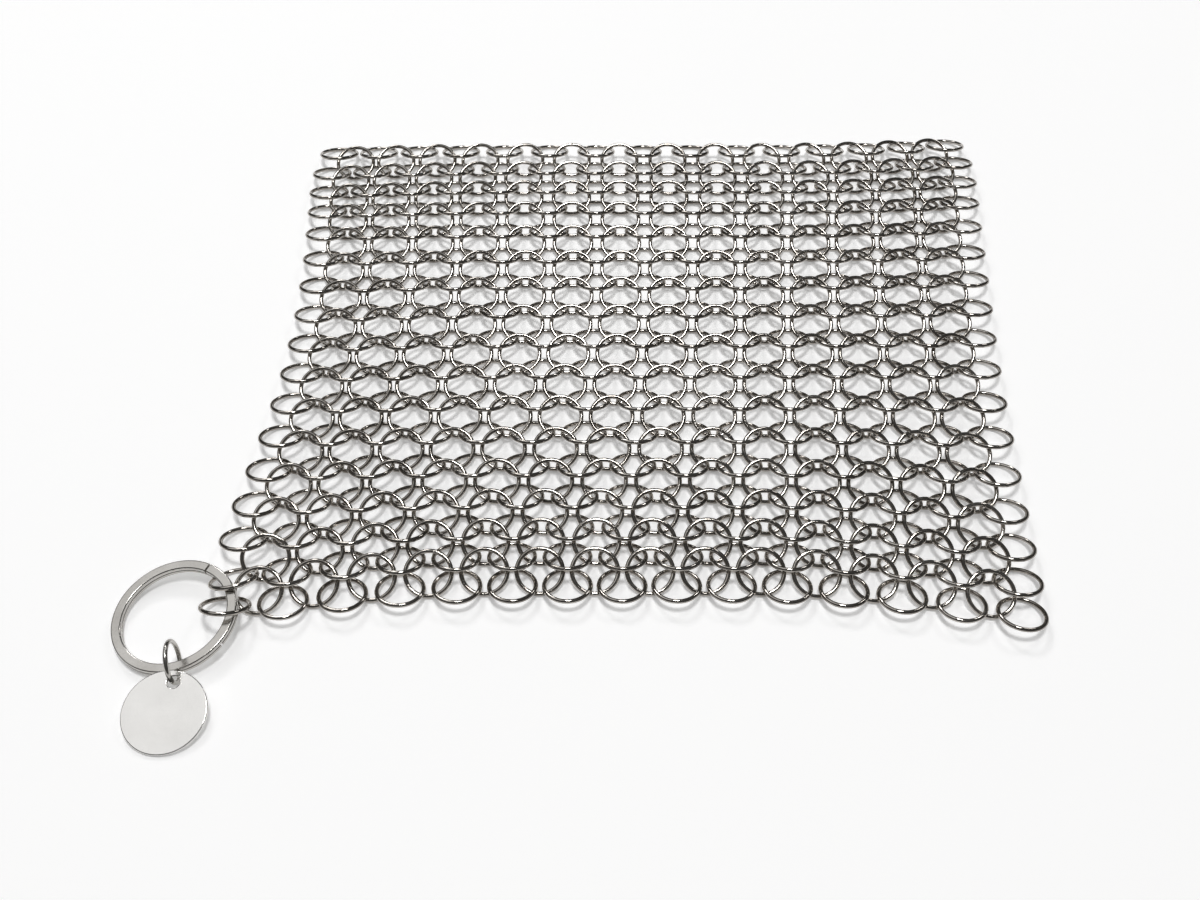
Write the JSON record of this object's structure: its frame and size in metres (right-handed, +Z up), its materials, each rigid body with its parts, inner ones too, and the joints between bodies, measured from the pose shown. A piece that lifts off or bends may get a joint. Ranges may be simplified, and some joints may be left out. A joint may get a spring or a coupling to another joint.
{
  "type": "chain mail pot scrubber",
  "caption": "Square of linked round steel rings for scouring pots and pans, with a split key ring and a round tag at one corner.",
  "frame": {"origin": "middle of the part's base, on the surface it lies on", "axes": "+X along the rows of rings, +Y from the near edge to the far edge, +Z up from the surface"},
  "size_m": [0.2276, 0.2144, 0.0103],
  "materials": {
    "ring_steel": "polished stainless steel wire",
    "key_nickel": "polished nickel plate",
    "tag_nickel": "bright nickel plate"
  },
  "bodies": {
    "mail_row_01": {"mail_row_01": "ring_steel"},
    "mail_row_02": {"mail_row_02": "ring_steel"},
    "mail_row_03": {"mail_row_03": "ring_steel"},
    "mail_row_04": {"mail_row_04": "ring_steel"},
    "mail_row_05": {"mail_row_05": "ring_steel"},
    "mail_row_06": {"mail_row_06": "ring_steel"},
    "mail_row_07": {"mail_row_07": "ring_steel"},
    "mail_row_08": {"mail_row_08": "ring_steel"},
    "mail_row_09": {"mail_row_09": "ring_steel"},
    "mail_row_10": {"mail_row_10": "ring_steel"},
    "mail_row_11": {"mail_row_11": "ring_steel"},
    "mail_row_12": {"mail_row_12": "ring_steel"},
    "mail_row_13": {"mail_row_13": "ring_steel"},
    "mail_row_14": {"mail_row_14": "ring_steel"},
    "mail_row_15": {"mail_row_15": "ring_steel"},
    "mail_row_16": {"mail_row_16": "ring_steel"},
    "mail_row_17": {"mail_row_17": "ring_steel"},
    "mail_row_18": {"mail_row_18": "ring_steel"},
    "mail_row_19": {"mail_row_19": "ring_steel"},
    "mail_row_20": {"mail_row_20": "ring_steel"},
    "mail_row_21": {"mail_row_21": "ring_steel"},
    "mail_row_22": {"mail_row_22": "ring_steel"},
    "mail_row_23": {"mail_row_23": "ring_steel"},
    "mail_row_24": {"mail_row_24": "ring_steel"},
    "mail_row_25": {"mail_row_25": "ring_steel"},
    "mail_row_26": {"mail_row_26": "ring_steel"},
    "mail_row_27": {"mail_row_27": "ring_steel"},
    "mail_row_28": {"mail_row_28": "ring_steel"},
    "mail_row_29": {"mail_row_29": "ring_steel"},
    "mail_row_30": {"mail_row_30": "ring_steel"},
    "mail_row_31": {"mail_row_31": "ring_steel"},
    "mail_row_32": {"mail_row_32": "ring_steel"},
    "mail_row_33": {"mail_row_33": "ring_steel"},
    "split_key_ring": {"split_key_ring": "key_nickel"},
    "tag_link": {"tag_link": "key_nickel"},
    "round_tag": {"round_tag": "tag_nickel"}
  },
  "joints": [
    {"name": "key_ring_lift", "type": "hinge", "parent": "mail_row_33", "child": "split_key_ring", "pos_m": [-0.08789, -0.0677, 0.00505], "axis": [-0.0207, 0.9981, 0.0576], "range_deg": [0, 60]},
    {"name": "tag_link_lift", "type": "hinge", "parent": "split_key_ring", "child": "tag_link", "pos_m": [-0.0961, -0.08737, 0.00445], "axis": [-0.9653, -0.2306, -0.1229], "range_deg": [-2, 45]},
    {"name": "tag_swing", "type": "hinge", "parent": "tag_link", "child": "round_tag", "pos_m": [-0.09554, -0.09129, 0.00375], "axis": [-0.0321, -0.2029, 0.9787], "range_deg": [-35, 35]},
    {"name": "valley_02_03", "type": "hinge", "parent": "mail_row_03", "child": "mail_row_02", "pos_m": [0, 0.09164, 0.00221], "axis": [1, 0, 0], "range_deg": [-2, 35]},
    {"name": "valley_04_05", "type": "hinge", "parent": "mail_row_05", "child": "mail_row_04", "pos_m": [0, 0.08308, 0.00217], "axis": [1, 0, 0], "range_deg": [-2, 35]},
    {"name": "valley_06_07", "type": "hinge", "parent": "mail_row_07", "child": "mail_row_06", "pos_m": [0, 0.07363, 0.00163], "axis": [1, 0, 0], "range_deg": [-2, 35]},
    {"name": "valley_08_09", "type": "hinge", "parent": "mail_row_09", "child": "mail_row_08", "pos_m": [0, 0.06334, 0.00104], "axis": [1, 0, 0], "range_deg": [-2, 35]},
    {"name": "valley_10_11", "type": "hinge", "parent": "mail_row_11", "child": "mail_row_10", "pos_m": [0, 0.05343, 0.00098], "axis": [1, 0, 0], "range_deg": [-2, 35]},
    {"name": "valley_12_13", "type": "hinge", "parent": "mail_row_13", "child": "mail_row_12", "pos_m": [0, 0.04178, 0.00097], "axis": [1, 0, 0], "range_deg": [-2, 35]},
    {"name": "valley_14_15", "type": "hinge", "parent": "mail_row_15", "child": "mail_row_14", "pos_m": [0, 0.02994, 0.00094], "axis": [1, 0, 0], "range_deg": [-2, 35]},
    {"name": "valley_16_17", "type": "hinge", "parent": "mail_row_17", "child": "mail_row_16", "pos_m": [0, 0.01851, 0.00093], "axis": [1, 0, 0], "range_deg": [-2, 18]},
    {"name": "valley_18_19", "type": "hinge", "parent": "mail_row_18", "child": "mail_row_19", "pos_m": [0, 0.0071, 0.00144], "axis": [-1, 0, 0], "range_deg": [-2, 35]},
    {"name": "valley_20_21", "type": "hinge", "parent": "mail_row_20", "child": "mail_row_21", "pos_m": [0, -0.00425, 0.00144], "axis": [-1, 0, 0], "range_deg": [-2, 35]},
    {"name": "valley_22_23", "type": "hinge", "parent": "mail_row_22", "child": "mail_row_23", "pos_m": [0, -0.01555, 0.00144], "axis": [-1, 0, 0], "range_deg": [-2, 35]},
    {"name": "valley_24_25", "type": "hinge", "parent": "mail_row_24", "child": "mail_row_25", "pos_m": [0, -0.02665, 0.00046], "axis": [-1, 0, 0], "range_deg": [-1, 35]},
    {"name": "valley_26_27", "type": "hinge", "parent": "mail_row_26", "child": "mail_row_27", "pos_m": [0, -0.03813, 0.00052], "axis": [-1, 0, 0], "range_deg": [-1, 35]},
    {"name": "valley_28_29", "type": "hinge", "parent": "mail_row_28", "child": "mail_row_29", "pos_m": [0, -0.04898, 0.00058], "axis": [-1, 0, 0], "range_deg": [-2, 35]},
    {"name": "valley_30_31", "type": "hinge", "parent": "mail_row_30", "child": "mail_row_31", "pos_m": [0, -0.05874, 0.00115], "axis": [-1, 0, 0], "range_deg": [-2, 15]},
    {"name": "valley_32_33", "type": "hinge", "parent": "mail_row_32", "child": "mail_row_33", "pos_m": [0, -0.06857, 0.00312], "axis": [-1, 0, 0], "range_deg": [-3, 2]},
    {"name": "ridge_01_02", "type": "hinge", "parent": "mail_row_02", "child": "mail_row_01", "pos_m": [0, 0.09656, 0.0035], "axis": [-1, 0, 0], "range_deg": [-2, 35]},
    {"name": "ridge_03_04", "type": "hinge", "parent": "mail_row_04", "child": "mail_row_03", "pos_m": [0, 0.08816, 0.00303], "axis": [-1, 0, 0], "range_deg": [-2, 30]},
    {"name": "ridge_05_06", "type": "hinge", "parent": "mail_row_06", "child": "mail_row_05", "pos_m": [0, 0.0789, 0.00407], "axis": [-1, 0, 0], "range_deg": [-2, 35]},
    {"name": "ridge_07_08", "type": "hinge", "parent": "mail_row_08", "child": "mail_row_07", "pos_m": [0, 0.06961, 0.00417], "axis": [-1, 0, 0], "range_deg": [-2, 35]},
    {"name": "ridge_09_10", "type": "hinge", "parent": "mail_row_10", "child": "mail_row_09", "pos_m": [0, 0.05795, 0.00472], "axis": [-1, 0, 0], "range_deg": [-1, 35]},
    {"name": "ridge_11_12", "type": "hinge", "parent": "mail_row_12", "child": "mail_row_11", "pos_m": [0, 0.04687, 0.00423], "axis": [-1, 0, 0], "range_deg": [-2, 35]},
    {"name": "ridge_13_14", "type": "hinge", "parent": "mail_row_14", "child": "mail_row_13", "pos_m": [0, 0.03564, 0.00425], "axis": [-1, 0, 0], "range_deg": [-1, 35]},
    {"name": "ridge_15_16", "type": "hinge", "parent": "mail_row_16", "child": "mail_row_15", "pos_m": [0, 0.02423, 0.00425], "axis": [-1, 0, 0], "range_deg": [-2, 35]},
    {"name": "ridge_17_18", "type": "hinge", "parent": "mail_row_17", "child": "mail_row_18", "pos_m": [0, 0.0128, 0.00375], "axis": [1, 0, 0], "range_deg": [-2, 18]},
    {"name": "ridge_19_20", "type": "hinge", "parent": "mail_row_19", "child": "mail_row_20", "pos_m": [0, 0.00141, 0.00374], "axis": [1, 0, 0], "range_deg": [-2, 35]},
    {"name": "ridge_21_22", "type": "hinge", "parent": "mail_row_21", "child": "mail_row_22", "pos_m": [0, -0.0099, 0.00373], "axis": [1, 0, 0], "range_deg": [-2, 35]},
    {"name": "ridge_23_24", "type": "hinge", "parent": "mail_row_23", "child": "mail_row_24", "pos_m": [0, -0.02112, 0.0037], "axis": [1, 0, 0], "range_deg": [-2, 35]},
    {"name": "ridge_25_26", "type": "hinge", "parent": "mail_row_25", "child": "mail_row_26", "pos_m": [0, -0.03296, 0.00362], "axis": [1, 0, 0], "range_deg": [-2, 35]},
    {"name": "ridge_27_28", "type": "hinge", "parent": "mail_row_27", "child": "mail_row_28", "pos_m": [0, -0.04312, 0.00405], "axis": [1, 0, 0], "range_deg": [-2, 35]},
    {"name": "ridge_29_30", "type": "hinge", "parent": "mail_row_29", "child": "mail_row_30", "pos_m": [0, -0.05515, 0.004], "axis": [1, 0, 0], "range_deg": [-2, 15]},
    {"name": "ridge_31_32", "type": "hinge", "parent": "mail_row_31", "child": "mail_row_32", "pos_m": [0, -0.06412, 0.00392], "axis": [1, 0, 0], "range_deg": [-1, 10]}
  ]
}
